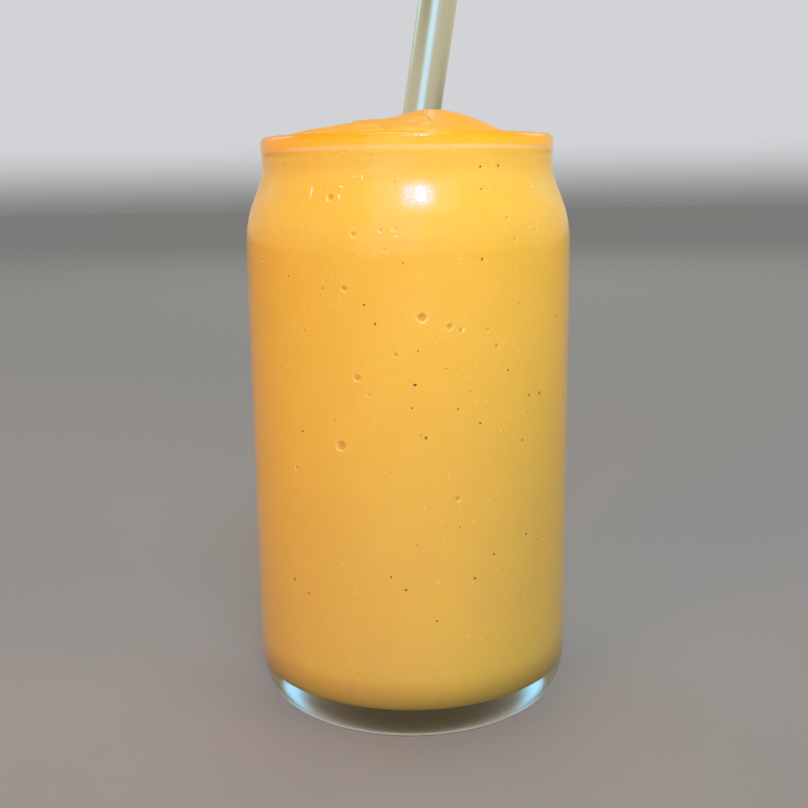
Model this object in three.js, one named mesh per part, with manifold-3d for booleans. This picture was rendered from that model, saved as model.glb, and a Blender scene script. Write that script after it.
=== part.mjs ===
// A mango smoothie in a can-shaped glass, heaped above the rim, with a steel straw standing in it.
// Millimetres, +Z up. The origin is the centre of the glass's foot, on the surface it stands on.
import * as THREE from 'three';
import { mergeVertices } from 'three/addons/utils/BufferGeometryUtils.js';
import Module from 'manifold-3d';

// The glass: an outer profile from the foot to the lip, and walls of one thickness.
const SEGMENTS = 60;
const BODY_RADIUS = 38.1;
const FOOT_RADIUS = 32.5;
const HEEL_HEIGHT = 13.1;
const SHOULDER_START = 107;
const SHOULDER_END = 127.4;
const SHOULDER_LATENESS = 1.6;
const NECK_RADIUS = 33.8;
const NECK_TOP = 130;
const BEAD_RADIUS = 34;
const BEAD_HEIGHT = 131.7;
const RIM_RADIUS = 32.3;
const RIM_HEIGHT = 134.4;
const WALL = 3.1;
const FLOOR_THICKNESS = 6.2;
const FLOOR_CORNER = 9;
const FOOT_WIDTH = 2;
const PUNT_RADIUS = FOOT_RADIUS - FOOT_WIDTH;
const PUNT_DEPTH = 1.6;
const PUNT_STEPS = 3;
const CORNER_STEPS = 5;
const HEEL_STEPS = 5;
const SHOULDER_STEPS = 8;

// The rounding of the lip: its top, the outside of its bead and its inner edge.
const LIP_TOP = { wide: 0.9, drop: 0.45 };
const BEAD_EASE = { inwards: 0.15, up: 1.2 };
const INNER_EDGE_DROP = 1.4;

// The smoothie fills the glass to its lip, this far inside the glass.
const GAP = 0.3;

// The straw: a plain steel tube that leans to the right, its foot in the drink.
const STRAW_SEGMENTS = 24;
const STRAW_RADIUS = 4.75;
const STRAW_BORE_RADIUS = 4.25;
const STRAW_LENGTH = 215;
const STRAW_LEVEL = 140;
const STRAW_AT_LEVEL = new THREE.Vector2(3.75, 21.5);
const STRAW_RISE = new THREE.Vector3(0.1587, 0.05, 1).normalize();
const STRAW_FOOT_HEIGHT = 11;

// The heap above the rim: a rounded peak with flat folds and a ribbon lying round it.
const EDGE_HEIGHT = 133.9;
const CROWN = 0.9;
const PEAK = { x: 5.8, y: 3.5, top: 140.6, fall: 0.0435, power: 1.7 };
const HEAP_RINGS = 22;
const HEAP_RADIUS = BEAD_RADIUS - WALL - GAP;
const EDGE_DROP = 0.8;

// Each fold is an oval sheet with a rounded edge, and its top is tilted by right and back.
const FOLDS = [
  {
    x: -10, y: 1, long: 18, wide: 22, turn: 0,
    top: 137.05, right: 0.09, back: 0.01, edge: 4.5, drop: 1.5,
  },
  {
    x: -7.3, y: 0, long: 13.3, wide: 16.5, turn: 14,
    top: 137.9, right: 0.1, back: 0.02, edge: 3.6, drop: 1.2,
  },
  {
    x: -3.9, y: 2, long: 9.8, wide: 12.5, turn: -12,
    top: 138.3, right: 0.02, back: 0.02, edge: 3, drop: 1.2,
  },
  {
    x: 11, y: 14.5, long: 12.5, wide: 8.5, turn: 134,
    top: 137.9, right: -0.05, back: -0.05, edge: 6, drop: 2.4,
  },
  {
    x: -10, y: 17, long: 14.5, wide: 8.5, turn: 24,
    top: 137.6, right: 0.02, back: -0.03, edge: 5, drop: 2.2,
  },
  {
    x: 1.4, y: -18.6, long: 9.6, wide: 9, turn: -4,
    top: 136.7, right: -0.02, back: 0.02, edge: 7, drop: 2.4,
  },
];

// The ribbon follows the lip at the front left, and climbs as it goes round to the front.
const RIBBON = { start: 200, end: 264, arc: 25.2, wide: 4.8, foot: 133.2, startTop: 134.9, endTop: 135.75 };
const FOLD_BLEND = 0.15;

const radians = THREE.MathUtils.degToRad;

function smoothMax(a, b, blend) {
  const share = THREE.MathUtils.clamp(0.5 + (0.5 * (a - b)) / blend, 0, 1);
  return b + (a - b) * share + blend * share * (1 - share);
}

function foldHeight(fold, x, y) {
  const c = Math.cos(radians(fold.turn));
  const s = Math.sin(radians(fold.turn));
  const along = (x - fold.x) * c + (y - fold.y) * s;
  const across = (y - fold.y) * c - (x - fold.x) * s;
  const inside = 1 - Math.hypot(along / fold.long, across / fold.wide);
  if (inside <= 0) return -Infinity;
  const inset = Math.min(1, (inside * Math.min(fold.long, fold.wide)) / fold.edge);
  const tilt = fold.right * (x - fold.x) + fold.back * (y - fold.y);
  return fold.top + tilt - fold.drop * (1 - Math.sqrt(1 - (1 - inset) ** 2));
}

function ribbonHeight(x, y) {
  const middle = radians((RIBBON.start + RIBBON.end) / 2);
  const half = radians((RIBBON.end - RIBBON.start) / 2);
  const turned = Math.atan2(y, x) - middle;
  const off = Math.atan2(Math.sin(turned), Math.cos(turned));
  const past = Math.max(0, Math.abs(off) - half + RIBBON.wide / RIBBON.arc) * RIBBON.arc;
  const distance = Math.hypot(Math.hypot(x, y) - RIBBON.arc, past) / RIBBON.wide;
  const climb = THREE.MathUtils.clamp((off + half) / (1.4 * half), 0, 1);
  const top = THREE.MathUtils.lerp(RIBBON.startTop, RIBBON.endTop, climb);
  return RIBBON.foot + (top - RIBBON.foot) * Math.sqrt(Math.max(0, 1 - distance * distance));
}

// Height of the heap above the surface that the glass stands on.
function heapHeight(x, y) {
  const crown = EDGE_HEIGHT + CROWN * (1 - (x * x + y * y) / HEAP_RADIUS ** 2);
  const fromPeak = Math.hypot(x - PEAK.x, y - PEAK.y);
  let height = smoothMax(crown, PEAK.top - PEAK.fall * fromPeak ** PEAK.power, 2.5 * FOLD_BLEND);
  for (const fold of FOLDS) {
    const layer = foldHeight(fold, x, y);
    if (layer > -Infinity) height = smoothMax(height, layer, FOLD_BLEND);
  }
  return smoothMax(height, ribbonHeight(x, y), FOLD_BLEND);
}

// The shoulder leaves the body slowly and meets the neck more sharply.
function shoulderDraw(share) {
  const late = share ** SHOULDER_LATENESS;
  return late * late * (3 - 2 * late);
}

// Points along a quarter of an ellipse in the plane of the profile, from its foot to its side.
function quarterCurve(centre, across, up, steps) {
  const points = [];
  for (let i = 0; i <= steps; i += 1) {
    const turn = (i / steps) * (Math.PI / 2);
    points.push([centre[0] + across * Math.sin(turn), centre[1] - up * Math.cos(turn)]);
  }
  return points;
}

// The shoulder of the glass up to its neck, as [radius, height], drawn in by inset.
function shoulderProfile(inset) {
  const points = [];
  for (let i = 0; i <= SHOULDER_STEPS; i += 1) {
    const share = i / SHOULDER_STEPS;
    const height = THREE.MathUtils.lerp(SHOULDER_START, SHOULDER_END, share);
    points.push([BODY_RADIUS - (BODY_RADIUS - NECK_RADIUS) * shoulderDraw(share) - inset, height]);
  }
  return points;
}

// The hollow of the glass from the middle of its floor to its neck, drawn in by gap.
function hollowProfile(gap) {
  const corner = [BODY_RADIUS - WALL - FLOOR_CORNER, FLOOR_THICKNESS + FLOOR_CORNER];
  const rounding = FLOOR_CORNER - gap;
  return [
    [0, FLOOR_THICKNESS + gap],
    ...quarterCurve(corner, rounding, rounding, CORNER_STEPS),
    ...shoulderProfile(WALL + gap),
  ];
}

function glassProfile() {
  return [
    ...quarterCurve([0, 0], PUNT_RADIUS, -PUNT_DEPTH, PUNT_STEPS),
    ...quarterCurve([FOOT_RADIUS, HEEL_HEIGHT], BODY_RADIUS - FOOT_RADIUS, HEEL_HEIGHT, HEEL_STEPS),
    ...shoulderProfile(0),
    [NECK_RADIUS, NECK_TOP],
    [BEAD_RADIUS, BEAD_HEIGHT],
    [BEAD_RADIUS - BEAD_EASE.inwards, BEAD_HEIGHT + BEAD_EASE.up],
    [RIM_RADIUS + LIP_TOP.wide, RIM_HEIGHT - LIP_TOP.drop],
    [RIM_RADIUS, RIM_HEIGHT],
    [RIM_RADIUS - LIP_TOP.wide, RIM_HEIGHT - LIP_TOP.drop],
    [BEAD_RADIUS - WALL, RIM_HEIGHT - INNER_EDGE_DROP],
    ...hollowProfile(0).reverse(),
  ];
}

function smoothieProfile() {
  const profile = [...hollowProfile(GAP), [HEAP_RADIUS, EDGE_HEIGHT - EDGE_DROP]];
  for (let ring = HEAP_RINGS; ring >= 0; ring -= 1) {
    profile.push([(HEAP_RADIUS - GAP) * (ring / HEAP_RINGS), EDGE_HEIGHT]);
  }
  return profile;
}

// Turns a profile of [radius, height] pairs round the Z axis.
function turnedSolid(profile, segments) {
  const points = profile.map(([radius, height]) => new THREE.Vector2(radius, height));
  return new THREE.LatheGeometry(points, segments).rotateX(Math.PI / 2);
}

// Welds a closed geometry, drops the empty faces at its poles, and gives a solid to cut with.
function toSolid(geometry, wasm) {
  const bare = geometry.clone();
  bare.deleteAttribute('normal');
  bare.deleteAttribute('uv');
  const welded = mergeVertices(bare, 1e-4);
  const corners = welded.index.array;
  const faces = [];
  for (let i = 0; i < corners.length; i += 3) {
    const [a, b, c] = corners.slice(i, i + 3);
    if (a !== b && b !== c && c !== a) faces.push(a, b, c);
  }
  return new wasm.Manifold(new wasm.Mesh({
    numProp: 3,
    vertProperties: new Float32Array(welded.attributes.position.array),
    triVerts: new Uint32Array(faces),
  }));
}

function toGeometry(solid) {
  const mesh = solid.getMesh();
  const geometry = new THREE.BufferGeometry();
  geometry.setAttribute('position', new THREE.BufferAttribute(mesh.vertProperties, 3));
  geometry.setIndex(new THREE.BufferAttribute(mesh.triVerts, 1));
  geometry.computeVertexNormals();
  return geometry;
}

// A tube wall about the Z axis, from the height low to the height high.
function tubeWall(outerRadius, innerRadius, low, high) {
  const inside = [[innerRadius, high], [innerRadius, low]];
  const outside = [[outerRadius, low], [outerRadius, high]];
  return turnedSolid([inside[1], ...outside, ...inside], STRAW_SEGMENTS);
}

// Stands a geometry made about the Z axis where the straw stands.
function placeAsStraw(object) {
  const alongToFoot = (STRAW_LEVEL - STRAW_FOOT_HEIGHT) / STRAW_RISE.z;
  const level = new THREE.Vector3(STRAW_AT_LEVEL.x, STRAW_AT_LEVEL.y, STRAW_LEVEL);
  object.position.copy(level).addScaledVector(STRAW_RISE, -alongToFoot);
  object.quaternion.setFromUnitVectors(new THREE.Vector3(0, 0, 1), STRAW_RISE);
  object.updateMatrixWorld();
  return object;
}

function makeGlass() {
  const clear = new THREE.MeshStandardMaterial({ color: 0xdfeaea, roughness: 0.03, metalness: 0 });
  clear.transparent = true;
  clear.opacity = 0.35;
  return new THREE.Mesh(turnedSolid(glassProfile(), SEGMENTS), clear);
}

function makeStraw() {
  const steel = new THREE.MeshStandardMaterial({ color: 0xb9b6ac, roughness: 0.16, metalness: 1 });
  return placeAsStraw(new THREE.Mesh(tubeWall(STRAW_RADIUS, STRAW_BORE_RADIUS, 0, STRAW_LENGTH), steel));
}

// The drink, heaped at its top, with the straw's wall cut out of it. It also fills the straw's bore.
function makeSmoothie(wasm) {
  const drink = turnedSolid(smoothieProfile(), SEGMENTS);
  const position = drink.attributes.position;
  for (let i = 0; i < position.count; i += 1) {
    const onTop = position.getZ(i) > EDGE_HEIGHT - EDGE_DROP / 2;
    if (onTop) position.setZ(i, heapHeight(position.getX(i), position.getY(i)));
  }
  const slot = placeAsStraw(new THREE.Mesh(
    tubeWall(STRAW_RADIUS + GAP, STRAW_BORE_RADIUS - GAP, -GAP, STRAW_LENGTH),
  ));
  const cut = toSolid(drink, wasm).subtract(toSolid(slot.geometry.applyMatrix4(slot.matrixWorld), wasm));
  const mango = new THREE.MeshStandardMaterial({ color: 0xf3b548, roughness: 0.32, metalness: 0 });
  return new THREE.Mesh(toGeometry(cut), mango);
}

const wasm = await Module();
wasm.setup();

const drinkInGlass = new THREE.Group();
const pieces = { glass: makeGlass(), smoothie: makeSmoothie(wasm), straw: makeStraw() };
for (const [name, mesh] of Object.entries(pieces)) {
  mesh.name = name;
  drinkInGlass.add(mesh);
}

export default drinkInGlass;
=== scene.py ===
from math import atan2, cos, hypot, pi, radians, sin, sqrt
from random import Random

import bmesh
import bpy
from mathutils import Matrix, Vector


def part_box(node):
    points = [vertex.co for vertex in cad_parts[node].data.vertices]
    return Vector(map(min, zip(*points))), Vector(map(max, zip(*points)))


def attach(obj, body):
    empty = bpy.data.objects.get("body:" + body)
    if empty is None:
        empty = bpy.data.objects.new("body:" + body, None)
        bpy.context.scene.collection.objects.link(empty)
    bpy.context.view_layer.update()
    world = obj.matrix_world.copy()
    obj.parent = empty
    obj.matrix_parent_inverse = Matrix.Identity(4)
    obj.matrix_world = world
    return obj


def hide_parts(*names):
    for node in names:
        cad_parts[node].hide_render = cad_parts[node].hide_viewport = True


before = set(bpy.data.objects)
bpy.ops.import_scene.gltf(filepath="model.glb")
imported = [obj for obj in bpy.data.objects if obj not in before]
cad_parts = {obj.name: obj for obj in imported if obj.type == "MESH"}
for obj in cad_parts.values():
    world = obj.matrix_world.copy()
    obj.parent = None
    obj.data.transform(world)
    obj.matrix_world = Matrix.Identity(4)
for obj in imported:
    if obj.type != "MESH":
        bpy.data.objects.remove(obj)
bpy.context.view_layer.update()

# The camera stands about 27 centimetres in front of the glass, a little below its lip, and looks
# down at it. Its place, turn and lens make the glass's own outline fit the photograph.
PHOTO_MIDDLE = 404
SENSOR_WIDTH = 36
CAMERA_PLACE = Vector((0, -0.2698, 0.1253))
CAMERA_PITCH = 0.1998
CAMERA_YAW = -0.0054
CAMERA_ROLL = -0.01355
FOCAL_PIXELS = 1126

camera_turn = (
    Matrix.Rotation(-CAMERA_YAW, 4, "Z")
    @ Matrix.Rotation(pi / 2 - CAMERA_PITCH, 4, "X")
    @ Matrix.Rotation(CAMERA_ROLL, 4, "Z")
)
camera_data = bpy.data.cameras.new("camera")
camera_data.sensor_width = SENSOR_WIDTH
camera_data.lens = SENSOR_WIDTH * FOCAL_PIXELS / (2 * PHOTO_MIDDLE)
camera_data.clip_start = 0.01
camera = bpy.data.objects.new("camera", camera_data)
camera.matrix_world = Matrix.Translation(CAMERA_PLACE) @ camera_turn
bpy.context.collection.objects.link(camera)
bpy.context.scene.camera = camera


# The glass has the shape of a can: a thick foot with a shallow hollow under it, a straight body,
# a shoulder drawn in to a short neck, and a fire-polished lip. It is one profile, spun round. The
# cold drink mists its shoulder with fine droplets, through which one drop has run down.
MM = 0.001
BODY_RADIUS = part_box("glass")[1][0]
RIM_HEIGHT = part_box("glass")[1][2]
FOOT_RADIUS = 32.5 * MM
HEEL_HEIGHT = 13.1 * MM
SHOULDER_START = 107 * MM
SHOULDER_END = 127.4 * MM
SHOULDER_LATENESS = 1.6
NECK_RADIUS = 33.8 * MM
NECK_TOP = 130.3 * MM
NECK_TURN = 0.8 * MM
NECK_FLARE = 0.03 * MM
BEAD_RADIUS = 34.0 * MM
BEAD_HEIGHT = 131.7 * MM
LIP_RADIUS = 32.45 * MM
LIP_HEIGHT = 1.5 * MM
WALL = 3.1 * MM
FLOOR_THICKNESS = 6.2 * MM
FLOOR_CORNER = 9.0 * MM
PUNT_RADIUS = 30.5 * MM
PUNT_DEPTH = 1.6 * MM
GLASS_STEPS = 192
GLASS_IOR = 1.5
DROPLET_SCALE = 2600.0
RAGGED_SCALE = 260.0
RAGGED_DEPTH = 12 * MM
MIST_LOW = (116 * MM, 116.5 * MM)
MIST_HIGH = (125 * MM, 128 * MM)
RUN_WIDTH = (3.0 * MM, 5.7 * MM)
RUN_EDGE = 0.15 * MM
RUN_TOP = (120.4 * MM, 120.8 * MM)
SOFT_LIP = (131.8 * MM, 132.6 * MM)
SOFT_FOOT = (3 * MM, 9 * MM)
SHADOW_TINT = (0.97, 0.985, 0.98, 1)


def arc(center, radii, start, end, steps):
    """Points along part of an ellipse in the profile's plane, from one angle in degrees to another."""
    points = []
    for step in range(steps + 1):
        angle = radians(start + (end - start) * step / steps)
        points.append((center[0] + radii[0] * cos(angle), center[1] + radii[1] * sin(angle)))
    return points


def body_radius(height):
    """The outer radius of the glass at a height between its heel and its neck."""
    share = min(1, max(0, (height - SHOULDER_START) / (SHOULDER_END - SHOULDER_START)))
    late = share ** SHOULDER_LATENESS
    return BODY_RADIUS - (BODY_RADIUS - NECK_RADIUS) * late * late * (3 - 2 * late)


def shoulder(inset):
    """The drawn-in curve from the body to the neck, moved inwards by inset."""
    steps = 24
    rise = SHOULDER_END - SHOULDER_START
    heights = [SHOULDER_START + rise * step / steps for step in range(steps + 1)]
    return [(body_radius(height) - inset, height) for height in heights]


def hollow(gap):
    """The inside of the glass, from the middle of its floor to its neck, grown outwards by gap."""
    floor = FLOOR_THICKNESS - gap
    radius = BODY_RADIUS - WALL + gap
    corner = arc((radius - FLOOR_CORNER, floor + FLOOR_CORNER), (FLOOR_CORNER, FLOOR_CORNER), -90, 0, 14)
    return [(0, floor)] + corner + shoulder(WALL - gap)


def spun(profile, steps, closed=False):
    """A round solid from a profile of (radius, height) points, spun round the upright axis."""
    shape = bmesh.new()
    points = [shape.verts.new((radius, 0, height)) for radius, height in profile]
    edges = [shape.edges.new(pair) for pair in zip(points, points[1:])]
    if closed:
        edges.append(shape.edges.new((points[-1], points[0])))
    bmesh.ops.spin(
        shape, geom=points + edges, cent=(0, 0, 0), axis=(0, 0, 1), angle=2 * pi, steps=steps, use_merge=True
    )
    bmesh.ops.remove_doubles(shape, verts=shape.verts, dist=1e-6)
    bmesh.ops.recalc_face_normals(shape, faces=shape.faces)
    return shape


def finished(name, shape, material):
    """Turns a bmesh into a smooth object that sits at the origin and wears a material."""
    mesh = bpy.data.meshes.new(name)
    shape.to_mesh(mesh)
    shape.free()
    mesh.shade_smooth()
    mesh.materials.append(material)
    piece = bpy.data.objects.new(name, mesh)
    bpy.context.collection.objects.link(piece)
    return piece


class Sum:
    """A shader socket that plain Python sums turn into Math nodes."""

    def __init__(self, tree, socket=None):
        self.tree = tree
        self.socket = socket

    def node(self, kind, settings=None, values=None, out=0):
        """Adds a node of a kind: settings first, then values or links for its sockets."""
        node = self.tree.nodes.new(kind)
        for name, value in (settings or {}).items():
            setattr(node, name, value)
        for name, value in (values or {}).items():
            if isinstance(value, Sum):
                self.tree.links.new(value.socket, node.inputs[name])
            else:
                node.inputs[name].default_value = value
        return Sum(self.tree, node.outputs[out])

    def maths(self, operation, *values):
        """Adds a Math node that works on values."""
        return self.node("ShaderNodeMath", {"operation": operation}, dict(enumerate(values)))

    def __add__(self, other):
        return self.maths("ADD", self, other)

    __radd__ = __add__

    def __sub__(self, other):
        return self.maths("SUBTRACT", self, other)

    def __rsub__(self, other):
        return self.maths("SUBTRACT", other, self)

    def __mul__(self, other):
        return self.maths("MULTIPLY", self, other)

    __rmul__ = __mul__

    def between(self, low, high):
        """Runs smoothly from 0 at low to 1 at high."""
        ends = {"Value": self, "From Min": low, "From Max": high}
        return self.node("ShaderNodeMapRange", {"interpolation_type": "SMOOTHSTEP"}, ends)

    def band(self, low, high, soft):
        """Is 1 between low and high, and fades out over a soft edge beyond them."""
        return self.between(low - soft, low) * (1 - self.between(high, high + soft))

    def blend(self, colour, other):
        """One colour where this is 0 and another where it is 1."""
        mix = self.tree.nodes.new("ShaderNodeMix")
        mix.data_type = "RGBA"
        self.tree.links.new(self.socket, mix.inputs[0])
        for socket, value in ((mix.inputs[6], colour), (mix.inputs[7], other)):
            if isinstance(value, Sum):
                self.tree.links.new(value.socket, socket)
            else:
                socket.default_value = (*value, 1)
        return Sum(self.tree, mix.outputs[2])

    def noise(self, place, scale, detail=2.0):
        """Soft cloudy noise from 0 to 1, finer with a larger scale."""
        values = {"Vector": place, "Scale": scale, "Detail": detail}
        return self.node("ShaderNodeTexNoise", None, values, out="Fac")


def new_material(name):
    """A material, its Principled shader, and a Sum that adds nodes to it."""
    material = bpy.data.materials.new(name)
    material.use_nodes = True
    return material, material.node_tree.nodes["Principled BSDF"], Sum(material.node_tree)


def set_sockets(shader, values):
    """Sets a shader's sockets to plain values, or links them."""
    for name, value in values.items():
        if isinstance(value, Sum):
            value.tree.links.new(value.socket, shader.inputs[name])
        else:
            shader.inputs[name].default_value = value


glass_material, glass_shader, glass_nodes = new_material("misted_glass")
glass_place = glass_nodes.node("ShaderNodeTexCoord", out="Object")
glass_height = glass_nodes.node("ShaderNodeSeparateXYZ", None, {"Vector": glass_place}, out="Z")
glass_across = glass_nodes.node("ShaderNodeSeparateXYZ", None, {"Vector": glass_place}, out="X")
droplets = glass_nodes.noise(glass_place, DROPLET_SCALE, 1.0).between(0.45, 0.58)
ragged = glass_height + RAGGED_DEPTH * glass_nodes.noise(glass_place, RAGGED_SCALE, 3.0)
run = glass_across.band(*RUN_WIDTH, RUN_EDGE) * (1 - ragged.between(*RUN_TOP))
mist = ragged.between(*MIST_LOW) * (1 - glass_height.between(*MIST_HIGH)) * (1 - run)
lip_haze = 0.11 * glass_height.between(*SOFT_LIP)
foot_haze = 0.2 * (1 - glass_height.between(*SOFT_FOOT))
set_sockets(glass_shader, {
    "Base Color": (1, 1, 1, 1),
    "Roughness": 0.01 + mist * (0.1 + 0.16 * droplets) + lip_haze + foot_haze,
    "IOR": GLASS_IOR,
    "Transmission Weight": 1,
})
open_way = glass_nodes.node("ShaderNodeBsdfTransparent", None, {"Color": SHADOW_TINT})
from_lamp = glass_nodes.node("ShaderNodeLightPath", out="Is Shadow Ray")
glass_surface = glass_nodes.node("ShaderNodeMixShader", None, {
    0: from_lamp, 1: Sum(glass_material.node_tree, glass_shader.outputs[0]), 2: open_way,
})
set_sockets(glass_material.node_tree.nodes["Material Output"], {"Surface": glass_surface})

outside = arc((FOOT_RADIUS, HEEL_HEIGHT), (BODY_RADIUS - FOOT_RADIUS, HEEL_HEIGHT), -90, 0, 20)
neck = [(NECK_RADIUS, NECK_TOP - NECK_TURN), (NECK_RADIUS + NECK_FLARE, NECK_TOP)]
neck.append((BEAD_RADIUS, BEAD_HEIGHT))
lip = arc((LIP_RADIUS, RIM_HEIGHT - LIP_HEIGHT), (BEAD_RADIUS - LIP_RADIUS, LIP_HEIGHT), 15, 165, 20)
punt_curve = arc((0, 0), (PUNT_RADIUS, PUNT_DEPTH), 90, 0, 16)
glass_profile = punt_curve + outside + shoulder(0) + neck + lip + hollow(0)[::-1]
glass = finished("can_glass", spun(glass_profile, GLASS_STEPS), glass_material)
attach(glass, "root")
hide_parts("glass")


# The smoothie is thick mango puree and milk, poured in until it heaped above the lip in soft flat
# folds, with painted shade in the crease under each edge. It is one closed body that reaches just
# into the glass's wall, with air bubbles against the glass as round dents, each with painted shade
# inside and a pale ring of painted light round it.
REACH = 0.08 * MM
EDGE_HEIGHT = 133.9 * MM
EDGE_DROP = 0.6 * MM
CROWN = 0.9 * MM
HEAP_RADIUS = BEAD_RADIUS - WALL + REACH
HEAP_RINGS = 84
DRINK_STEPS = 240
BODY_ROWS = 70
TALL_EDGE = 20 * MM

# The heap's peak, flat folds and ribbon, in millimetres and degrees. A fold has a place, a size and
# a height at its middle, slopes to the right and to the back, and an edge rounded by its drop.
PEAK = {"x": 5.8, "y": 3.5, "top": 140.6, "fall": 0.0435, "power": 1.7}
PEAK_BLEND = 0.375
FOLD_BLEND = 0.15
CREASE_DEPTH = 0.16
FOLDS = (
    {"x": -10, "y": 1, "long": 18, "wide": 22, "turn": 0, "top": 137.05, "right": 0.09, "back": 0.01,
     "edge": 4.5, "drop": 1.5},
    {"x": -7.3, "y": 0, "long": 13.3, "wide": 16.5, "turn": 14, "top": 137.9, "right": 0.1, "back": 0.02,
     "edge": 3.6, "drop": 1.2},
    {"x": -3.9, "y": 2, "long": 9.8, "wide": 12.5, "turn": -12, "top": 138.3, "right": 0.02, "back": 0.02,
     "edge": 3, "drop": 1.2},
    {"x": 11, "y": 14.5, "long": 12.5, "wide": 8.5, "turn": 134, "top": 137.9, "right": -0.05, "back": -0.05,
     "edge": 6, "drop": 2.4},
    {"x": -10, "y": 17, "long": 14.5, "wide": 8.5, "turn": 24, "top": 137.6, "right": 0.02, "back": -0.03,
     "edge": 5, "drop": 2.2},
    {"x": 1.4, "y": -18.6, "long": 9.6, "wide": 9, "turn": -4, "top": 136.7, "right": -0.02, "back": 0.02,
     "edge": 7, "drop": 2.4},
)
RIBBON = {
    "start": 200, "end": 264, "climb": 0.7, "arc": 25.2, "wide": 4.8, "foot": 133.2,
    "start_top": 134.9, "end_top": 135.75,
}

# Where the larger bubbles show, in pixels of the photograph, and how wide they are there.
BUBBLES_SEEN = (
    (422, 318, 10), (450, 327, 7), (461, 330, 4.5), (357, 378, 8), (396, 355, 5), (344, 289, 6.5),
    (341, 446, 11), (458, 499, 6.5), (330, 200, 8), (353, 235, 6), (334, 421, 4), (368, 395, 3.5),
    (380, 232, 4), (395, 230, 4), (384, 250, 4), (374, 256, 4), (263, 259, 5), (532, 188, 5),
    (507, 220, 4), (515, 240, 4), (535, 231, 4), (446, 369, 4), (488, 330, 4), (497, 346, 6), (297, 468, 5),
)
PIXELS_PER_MM = 4.7
BUBBLE_DEPTH = 0.6
BUBBLE_CUTS = 6
BUBBLE_MARGIN = 1.5 * MM
# These shape the painted shade inside each dent and the pale ring of painted light round it.
DENT_EDGE = 0.92
DENT_SOFTNESS = 0.25
RING_PLACE = 0.98
RING_SOFTNESS = 0.22

# The colours, and the heights between which they change.
# Painted shade: the drink is coloured darker towards its bottom, fading out between 10 and 110 mm.
SHADED_LOW_MANGO = (0.7, 0.46, 0.08)
HIGH_MANGO = (0.735, 0.5, 0.045)
STREAK_MANGO = (0.765, 0.515, 0.055)
COARSE_FROTH = (1.0, 0.74, 0.26)
FINE_FROTH = (1.0, 0.76, 0.3)
# Painted light: the heap above the lip is a lighter, redder orange than the drink in the glass, for the
# light on its top.
LIT_HEAP_MANGO = (1.0, 0.5, 0.055)
# Painted shade: the drink is coloured darker in the crease under each fold's edge.
CREASE_SHADE_COLOUR = (0.62, 0.24, 0.02)
# Painted highlight: a pale line round the drink at the neck, where the glass's bead catches the light.
NECK_HIGHLIGHT_COLOUR = (0.88, 0.56, 0.17)
# Painted light and shade: a deeper orange band under the lip, for the way the glass's thick bead bends the
# light.
LIP_REFRACTION_SHADE = (1.0, 0.54, 0.012)
# Painted shade inside each bubble's dent, and a painted highlight in the pale ring round it.
DENT_SHADE_COLOUR = (0.7, 0.36, 0.003)
RING_HIGHLIGHT_COLOUR = (0.95, 0.72, 0.25)
SHADE_FADE_HEIGHTS = (10 * MM, 110 * MM)
FROTH_RISE = (40 * MM, 110 * MM)
NECK_HIGHLIGHT_HEIGHTS = (131.1 * MM, 131.6 * MM)
LIP_HEIGHTS = (132.0 * MM, 133.7 * MM)
HEAP_FOOT = (133.6 * MM, 134.2 * MM)


def smooth_max(first, second, blend):
    """The larger of two heights, with a soft join where they are within blend of each other."""
    share = min(1, max(0, 0.5 + 0.5 * (first - second) / blend))
    return second + (first - second) * share + blend * share * (1 - share)


def fold_height(fold, x, y):
    """The height in millimetres of one oval fold, or None outside it."""
    turn = radians(fold["turn"])
    along = (x - fold["x"]) * cos(turn) + (y - fold["y"]) * sin(turn)
    across = (y - fold["y"]) * cos(turn) - (x - fold["x"]) * sin(turn)
    inside = 1 - hypot(along / fold["long"], across / fold["wide"])
    if inside <= 0:
        return None
    inset = min(1, inside * min(fold["long"], fold["wide"]) / fold["edge"])
    tilt = fold["right"] * (x - fold["x"]) + fold["back"] * (y - fold["y"])
    return fold["top"] + tilt - fold["drop"] * (1 - sqrt(1 - (1 - inset) ** 2))


def ribbon_height(x, y):
    """The height of the ribbon that lies along the lip at the front left."""
    half = radians((RIBBON["end"] - RIBBON["start"]) / 2)
    turned = atan2(y, x) - radians((RIBBON["start"] + RIBBON["end"]) / 2)
    off = atan2(sin(turned), cos(turned))
    past = max(0, abs(off) - half + RIBBON["wide"] / RIBBON["arc"]) * RIBBON["arc"]
    distance = hypot(hypot(x, y) - RIBBON["arc"], past) / RIBBON["wide"]
    climb = min(1, max(0, (off + half) / (2 * RIBBON["climb"] * half)))
    top = RIBBON["start_top"] + (RIBBON["end_top"] - RIBBON["start_top"]) * climb
    return RIBBON["foot"] + (top - RIBBON["foot"]) * sqrt(max(0, 1 - distance * distance))


def heap_surface(x, y):
    """The heap over a point of the glass's section: its height in millimetres, and 1 in a crease, where
    shade is painted.
    """
    crown = (EDGE_HEIGHT + CROWN * (1 - (x * x + y * y) * MM * MM / HEAP_RADIUS ** 2)) / MM
    from_peak = hypot(x - PEAK["x"], y - PEAK["y"])
    height = smooth_max(crown, PEAK["top"] - PEAK["fall"] * from_peak ** PEAK["power"], PEAK_BLEND)
    crease = 0
    layers = [fold_height(fold, x, y) for fold in FOLDS] + [ribbon_height(x, y)]
    for layer in layers:
        if layer is not None:
            crease = max(crease, 1 - abs(height - layer) / CREASE_DEPTH)
            height = smooth_max(height, layer, FOLD_BLEND)
    return height, crease


def nearest_hit(start, way, radius):
    """Where a ray first meets an upright cylinder round the axis."""
    a = way.x ** 2 + way.y ** 2
    b = start.x * way.x + start.y * way.y
    c = start.x ** 2 + start.y ** 2 - radius ** 2
    return start + way * ((-b - sqrt(max(0, b * b - a * c))) / a)


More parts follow.
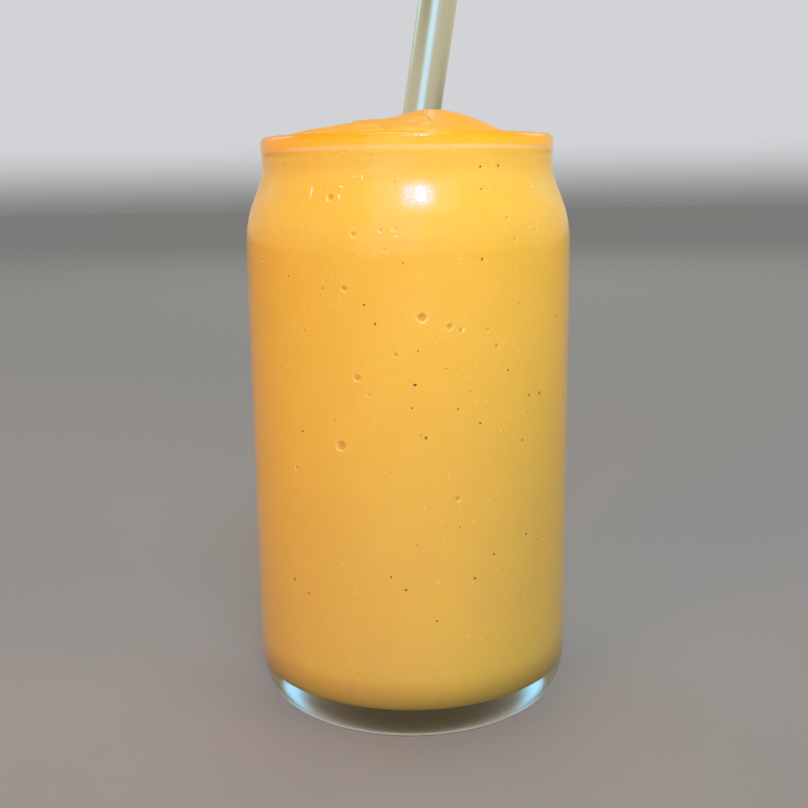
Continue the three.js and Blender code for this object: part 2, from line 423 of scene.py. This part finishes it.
def on_glass(across, down):
    """The point of the glass's outside that shows at a pixel of the photograph, and the ray to it."""
    way = Vector(((across - PHOTO_MIDDLE) / FOCAL_PIXELS, (PHOTO_MIDDLE - down) / FOCAL_PIXELS, -1))
    way = (camera_turn.to_3x3() @ way).normalized()
    outer = nearest_hit(CAMERA_PLACE, way, BODY_RADIUS)
    for _ in range(4):
        outer = nearest_hit(CAMERA_PLACE, way, body_radius(outer.z))
    return outer, way


def on_wall(across, down):
    """The point of the drink's side that shows at a pixel of the photograph, bent by the glass."""
    outer, way = on_glass(across, down)
    normal = Vector((outer.x, outer.y, 0)).normalized()
    facing = -way.dot(normal)
    bend = facing / GLASS_IOR - sqrt(1 - (1 - facing ** 2) / GLASS_IOR ** 2)
    return nearest_hit(outer, way / GLASS_IOR + normal * bend, body_radius(outer.z) - WALL)


drink_profile = hollow(REACH) + [(HEAP_RADIUS, EDGE_HEIGHT - EDGE_DROP)]
drink_profile += [(HEAP_RADIUS * ring / HEAP_RINGS, EDGE_HEIGHT) for ring in range(HEAP_RINGS, -1, -1)]
drink = spun(drink_profile, DRINK_STEPS)
# This layer marks where shade is painted in the crease under each fold's edge.
crease_shade = drink.verts.layers.float.new("crease_shade")
for vert in drink.verts:
    if vert.co.z > EDGE_HEIGHT - EDGE_DROP / 2:
        height, vert[crease_shade] = heap_surface(vert.co.x / MM, vert.co.y / MM)
        vert.co.z = height * MM
tall_edges = [edge for edge in drink.edges if abs(edge.verts[0].co.z - edge.verts[1].co.z) > TALL_EDGE]
bmesh.ops.subdivide_edges(drink, edges=tall_edges, cuts=BODY_ROWS, use_grid_fill=True)

# Layers for the painted shade inside each dent and the painted light in the ring round it.
dent_shade = drink.verts.layers.float.new("dent_shade")
ring_light = drink.verts.layers.float.new("ring_light")
for across, down, width in BUBBLES_SEEN:
    middle = on_wall(across, down)
    radius = width / 2 / PIXELS_PER_MM * MM
    reach = radius + BUBBLE_MARGIN
    patch = [face for face in drink.faces if (face.calc_center_median() - middle).length < reach]
    edges = {edge for face in patch for edge in face.edges}
    bmesh.ops.subdivide_edges(drink, edges=list(edges), cuts=BUBBLE_CUTS, use_grid_fill=True)
    for vert in drink.verts:
        away = (vert.co - middle).length / radius
        if away < RING_PLACE + RING_SOFTNESS:
            inwards = Vector((-vert.co.x, -vert.co.y, 0)).normalized()
            vert.co += inwards * radius * BUBBLE_DEPTH * sqrt(max(0, 1 - away * away))
            vert[dent_shade] = max(vert[dent_shade], min(1, max(0, DENT_EDGE - away) / DENT_SOFTNESS))
            vert[ring_light] = max(vert[ring_light], 1 - min(1, abs(away - RING_PLACE) / RING_SOFTNESS))
bmesh.ops.recalc_face_normals(drink, faces=drink.faces)

mango_material, mango_shader, mango_nodes = new_material("mango_smoothie")
mango_place = mango_nodes.node("ShaderNodeTexCoord", out="Object")
mango_height = mango_nodes.node("ShaderNodeSeparateXYZ", None, {"Vector": mango_place}, out="Z")
above_lip = mango_height.between(*HEAP_FOOT)
# Painted shade: darker towards the bottom of the drink.
bottom_shaded = mango_height.between(*SHADE_FADE_HEIGHTS).blend(SHADED_LOW_MANGO, HIGH_MANGO)
drift = mango_nodes.noise(mango_place, 26.0, 3.0).between(0.35, 0.65)
streaked = (0.5 * drift).blend(bottom_shaded, STREAK_MANGO)


def froth(scale, size, patch, strength):
    """How pale the froth is: round dots of a share of a cell, thinned out in patches."""
    values = {"Vector": mango_place, "Scale": scale}
    cells = mango_nodes.node("ShaderNodeTexVoronoi", None, values, out="Distance")
    patches = mango_nodes.noise(mango_place, patch, 1.0).between(0.3, 0.65)
    return (strength * (1 - cells.between(0.3 * size, size))) * patches


upper = 0.35 + 0.65 * mango_height.between(*FROTH_RISE)
coarse_dots = froth(scale=420.0, size=0.12, patch=300.0, strength=0.75)
fine_dots = froth(scale=2400.0, size=0.5, patch=90.0, strength=0.3)
coarse = coarse_dots.blend(streaked, COARSE_FROTH)
frothy = (upper * fine_dots).blend(coarse, FINE_FROTH)
# Painted highlight: a pale line at the neck.
neck_highlight_band = mango_height.band(*NECK_HIGHLIGHT_HEIGHTS, 0.4 * MM)
# Painted light and shade: the deeper orange band seen through the glass's bead.
lip_band = mango_height.band(*LIP_HEIGHTS, 0.3 * MM)
crease_shade_mask = mango_nodes.node("ShaderNodeAttribute", {"attribute_name": "crease_shade"}, out="Fac")
# Painted shade: darker in the creases under the folds.
crease_shaded = (0.6 * crease_shade_mask).blend(LIT_HEAP_MANGO, CREASE_SHADE_COLOUR)
# Painted light: above the lip the heap takes its lighter, lit colour.
heaped = above_lip.blend(frothy, crease_shaded)
neck_highlighted = (0.9 * neck_highlight_band).blend(heaped, NECK_HIGHLIGHT_COLOUR)
at_lip = lip_band.blend(neck_highlighted, LIP_REFRACTION_SHADE)
# Painted shade inside the bubble dents, and a painted highlight in the rings round them.
dent_shade_mask = mango_nodes.node("ShaderNodeAttribute", {"attribute_name": "dent_shade"}, out="Fac")
ring_light_mask = mango_nodes.node("ShaderNodeAttribute", {"attribute_name": "ring_light"}, out="Fac")
dent_shaded = (0.95 * dent_shade_mask).blend(at_lip, DENT_SHADE_COLOUR)
wet_spots = mango_nodes.noise(mango_place, 420.0, 1.0).between(0.56, 0.6)
mango_colour = (0.7 * ring_light_mask).blend(dent_shaded, RING_HIGHLIGHT_COLOUR)
set_sockets(mango_shader, {
    "Base Color": mango_colour,
    "Roughness": 0.7 - 0.3 * above_lip,
    "IOR": 1.36,
    "Coat Weight": 0.1 * above_lip * wet_spots,
    "Coat Roughness": 0.1,
    "Subsurface Weight": 0.25,
    "Subsurface Radius": (1.0, 0.45, 0.1),
    "Subsurface Scale": 1.5 * MM,
    "Normal": mango_nodes.node("ShaderNodeBump", None, {
        "Height": mango_nodes.noise(mango_place, 700.0, 3.0), "Strength": 0.25, "Distance": 0.06 * MM,
    }),
})
smoothie = finished("smoothie_body", drink, mango_material)
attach(smoothie, "root")
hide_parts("smoothie")


# The dark specks are crumbs of skin and seed against the glass. Each is a small uneven lump, half
# sunk in the drink. The front ones are where the photograph shows them, in pixels, and the rest are
# spread round the back.
SPECKS_SEEN = (
    (403, 263), (475, 256), (482, 259), (518, 303), (555, 315), (375, 324), (289, 276), (284, 165),
    (273, 163), (480, 167), (498, 166), (481, 191), (532, 145), (395, 183), (305, 330), (323, 288),
    (364, 305), (276, 377), (298, 376), (418, 351), (415, 385), (412, 408), (421, 435), (426, 438),
    (458, 409), (470, 391), (480, 423), (508, 370), (522, 440), (529, 395), (539, 393), (527, 411),
    (303, 431), (271, 470), (290, 502), (391, 472), (417, 545), (391, 577), (406, 590), (309, 593),
    (278, 603), (295, 579), (460, 527), (526, 534), (537, 539), (494, 554), (538, 596), (552, 607),
    (520, 597), (432, 568), (475, 578), (437, 621), (562, 262),
)
SPECKS_BEHIND = 150
SPECK_RADII = (0.1 * MM, 0.25 * MM)
SPECK_LENGTHENING = (1.0, 1.7)
SPECK_FLATNESS = 0.6
SPECK_LUMPS = 0.25
SPECK_HEIGHTS = (14, 126)
DARK_CRUMB = (0.07, 0.035, 0.012)
PALE_CRUMB = (0.2, 0.1, 0.02)

speck_draw = Random(7)
speck_places = [on_wall(across, down) for across, down in SPECKS_SEEN]
for _ in range(SPECKS_BEHIND):
    bearing = speck_draw.uniform(radians(-5), radians(185))
    height = speck_draw.uniform(*SPECK_HEIGHTS) * MM
    radius = body_radius(height) - WALL
    speck_places.append(Vector((radius * cos(bearing), radius * sin(bearing), height)))
specks_shape = bmesh.new()
for place in speck_places:
    outwards = Vector((place.x, place.y, 0)).normalized()
    size = speck_draw.uniform(*SPECK_RADII)
    lengthening = speck_draw.uniform(*SPECK_LENGTHENING)
    turn = outwards.to_track_quat("Z", "Y").to_matrix().to_4x4()
    turn = turn @ Matrix.Rotation(speck_draw.uniform(0, pi), 4, "Z")
    flat = Matrix.Diagonal((size * lengthening, size, size * SPECK_FLATNESS, 1))
    middle = place + outwards * REACH
    stand = Matrix.Translation(middle) @ turn @ flat
    lump = bmesh.ops.create_icosphere(specks_shape, subdivisions=2, radius=1, matrix=stand)
    for vert in lump["verts"]:
        vert.co += (vert.co - middle) * speck_draw.uniform(-SPECK_LUMPS, SPECK_LUMPS)

speck_material, speck_shader, speck_nodes = new_material("dark_crumbs")
speck_place = speck_nodes.node("ShaderNodeTexCoord", out="Object")
set_sockets(speck_shader, {
    "Base Color": speck_nodes.noise(speck_place, 160.0).between(0.35, 0.65).blend(DARK_CRUMB, PALE_CRUMB),
    "Roughness": 0.8,
})
specks = finished("dark_specks", specks_shape, speck_material)
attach(specks, "root")


# A few small drops of water cling to the shoulder. Each is a pale bead whose colour is a painted
# highlight, the glint the drop catches, as wide and as long in pixels of the photograph as the list
# says, and leans by its angle in degrees.
DROPS_SEEN = (
    (311.3, 192.5, 2.2, 13, 11), (341, 187, 4.5, 2, 0), (339, 197, 2, 6, 5), (362, 178, 1.5, 5, 0),
    (354.5, 176.5, 1.6, 1.8, 0), (303.5, 203, 1.5, 1.6, 0), (395.5, 236.5, 2.4, 2, 0),
)
DROP_HEIGHT = 0.12 * MM
# Painted highlight: the pale colour of the glint on each drop.
DROP_GLINT_COLOUR = (1, 0.93, 0.6, 1)

drops_shape = bmesh.new()
for across, down, width, length, lean in DROPS_SEEN:
    place, _ = on_glass(across, down)
    outwards = Vector((place.x, place.y, 0)).normalized()
    turn = outwards.to_track_quat("Z", "Y").to_matrix().to_4x4()
    turn = turn @ Matrix.Rotation(radians(-lean), 4, "Z")
    half = MM / PIXELS_PER_MM / 2
    oval = Matrix.Diagonal((half * width, half * length, DROP_HEIGHT, 1))
    stand = Matrix.Translation(place) @ turn @ oval
    bmesh.ops.create_icosphere(drops_shape, subdivisions=3, radius=1, matrix=stand)

drop_material, drop_shader, _ = new_material("painted_drop_glints")
# Painted highlight: the drops are coloured pale like the glints they catch.
set_sockets(drop_shader, {"Base Color": DROP_GLINT_COLOUR, "Roughness": 0.2})
drops = finished("water_drops", drops_shape, drop_material)
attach(drops, "root")


# The straw is a plain tube of polished stainless steel with rounded cut ends. It leans to the
# right with its foot in the drink.
STRAW_RADIUS = 4.75 * MM
STRAW_BORE = 4.25 * MM
STRAW_LENGTH = 215 * MM
STRAW_LEVEL = Vector((3.75, 21.5, 140)) * MM
STRAW_RISE = Vector((0.1587, 0.05, 1)).normalized()
STRAW_FOOT_HEIGHT = 11 * MM
STRAW_STEPS = 64
DARK_STEEL = (0.8, 0.77, 0.58)
LIGHT_STEEL = (0.86, 0.83, 0.64)

steel_material, steel_shader, steel_nodes = new_material("polished_steel")
steel_place = steel_nodes.node("ShaderNodeTexCoord", out="Object")
rubbed = steel_nodes.noise(steel_place, 90.0, 4.0)
set_sockets(steel_shader, {
    "Base Color": rubbed.blend(DARK_STEEL, LIGHT_STEEL),
    "Metallic": 1.0,
    "Roughness": 0.16 + 0.12 * rubbed,
})
wall_middle = (STRAW_RADIUS + STRAW_BORE) / 2
cut_radius = (STRAW_RADIUS - STRAW_BORE) / 2
straw_profile = arc((wall_middle, STRAW_LENGTH - cut_radius), (cut_radius, cut_radius), 0, 180, 8)
straw_profile += arc((wall_middle, cut_radius), (cut_radius, cut_radius), 180, 360, 8)
tube = spun(straw_profile, STRAW_STEPS, closed=True)
straw_foot = STRAW_LEVEL - STRAW_RISE * ((STRAW_LEVEL.z - STRAW_FOOT_HEIGHT) / STRAW_RISE.z)
straw_turn = Vector((0, 0, 1)).rotation_difference(STRAW_RISE).to_matrix().to_4x4()
bmesh.ops.transform(tube, matrix=Matrix.Translation(straw_foot) @ straw_turn, verts=tube.verts)
straw = finished("steel_straw", tube, steel_material)
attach(straw, "root")
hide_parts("straw")


# The studio: a pale floor, a cool soft window above and behind the camera, a warm light from the
# left, low soft lights in front and behind, and one overhead. The surroundings are a pale ring at
# the height of the glass, with cool patches that show in the straw and in the thick foot.
FLOOR_SIZE = 4
FLOOR_COLOUR = (0.34, 0.325, 0.315, 1)
DARK_ROOM = (0.03, 0.025, 0.025)
PALE_RING = (0.6, 0.57, 0.49)
FRONT_PATCH = (0.72, 1.0, 1.4)
BACK_PATCH = (0.7, 1.55, 2.1)
HORIZON = (0.22, 0.215, 0.21)
BACKGROUND = (0.64, 0.65, 0.67)

floor_shape = bmesh.new()
bmesh.ops.create_grid(floor_shape, x_segments=1, y_segments=1, size=FLOOR_SIZE)
floor_material, floor_shader, _ = new_material("pale_floor")
set_sockets(floor_shader, {"Base Color": FLOOR_COLOUR, "Roughness": 0.8})
floor = finished("floor", floor_shape, floor_material)


def soft_light(name, place, size, power, colour, aim=0.08, spread=180, lights=True, shows=False):
    """A flat light aimed at a height on the axis. It lights dull things, shows in glossy ones, or both."""
    data = bpy.data.lights.new(name, "AREA")
    data.shape = "RECTANGLE"
    data.size = size[0]
    data.size_y = size[1]
    data.energy = power
    data.color = colour
    data.spread = radians(spread)
    light = bpy.data.objects.new(name, data)
    light.location = place
    light.rotation_euler = (Vector((0, 0, aim)) - Vector(place)).to_track_quat("-Z", "Y").to_euler()
    light.visible_diffuse = lights
    light.visible_glossy = shows
    light.visible_transmission = shows
    light.visible_camera = False
    bpy.context.collection.objects.link(light)


soft_light("window", (0.2, -1.0, 1.15), (0.1, 0.24), 7.5, (0.1, 0.42, 1.0), lights=False, shows=True)
soft_light("window_haze", (0.16, -1.0, 1.15), (0.5, 0.32), 8.5, (0.06, 0.3, 1.0), lights=False, shows=True)
soft_light("window_glow", (0.1, -1.05, 1.15), (1.6, 0.6), 3.2, (0.8, 0.88, 1.0), lights=False, shows=True)
soft_light("window_fill", (0.18, -1.0, 1.15), (0.6, 0.5), 8.8, (0.64, 0.78, 0.88))
soft_light("low_front", (0.1, -1.3, 0.3), (0.8, 0.2), 2.8, (1, 0.86, 0.7))
soft_light("near_right", (0.26, -0.16, 0.22), (0.12, 0.12), 0.063, (1, 0.6, 0.35), aim=0.15, spread=60)
soft_light("side_left", (-0.4, -0.45, 0.2), (0.2, 0.2), 0.165, (1, 0.38, 0.03), aim=0.13, spread=50)
soft_light("back_fill", (0.1, 1.3, 0.9), (1.0, 0.6), 3.5, (1, 0.9, 0.75))
soft_light("back_left", (-0.55, 0.2, 0.15), (0.25, 0.25), 0.3, (1, 0.3, 0.02), aim=0.08)

sky_data = bpy.data.lights.new("overhead", "SUN")
sky_data.energy = 0.98
sky_data.color = (1, 0.93, 0.84)
sky_data.angle = radians(40)
sky = bpy.data.objects.new("overhead", sky_data)
bpy.context.collection.objects.link(sky)

world = bpy.data.worlds.new("studio")
world.use_nodes = True
studio = Sum(world.node_tree)
direction = studio.node("ShaderNodeTexCoord", out="Generated")
up = studio.node("ShaderNodeSeparateXYZ", None, {"Vector": direction}, out="Z")


def glow(towards, inner, outer):
    """A round soft patch of the surroundings, 1 within inner degrees of a direction."""
    values = {0: direction, 1: Vector(towards).normalized()}
    facing = studio.node("ShaderNodeVectorMath", {"operation": "DOT_PRODUCT"}, values, out="Value")
    return facing.between(cos(radians(outer)), cos(radians(inner)))


ring = up.between(-0.05, 0.01) * (1 - up.between(0.36, 0.56))
room = ring.blend(DARK_ROOM, PALE_RING)
room = glow((-0.19, -0.96, 0.2), 8, 26).blend(room, FRONT_PATCH)
for side in (-1, 1):
    room = glow((0.8 * side, 0.75, 0.6), 2, 17).blend(room, BACK_PATCH)
wall = up.between(-0.032, 0.03).blend(HORIZON, BACKGROUND)
seen = studio.node("ShaderNodeBackground", None, {"Color": wall, "Strength": 1.0})
lighting = studio.node("ShaderNodeBackground", None, {"Color": room, "Strength": 1.0})
by_camera = studio.node("ShaderNodeLightPath", out="Is Camera Ray")
backdrop = studio.node("ShaderNodeMixShader", None, {0: by_camera, 1: lighting, 2: seen})
set_sockets(world.node_tree.nodes["World Output"], {"Surface": backdrop})
bpy.context.scene.world = world
bpy.context.scene.view_settings.view_transform = "Standard"
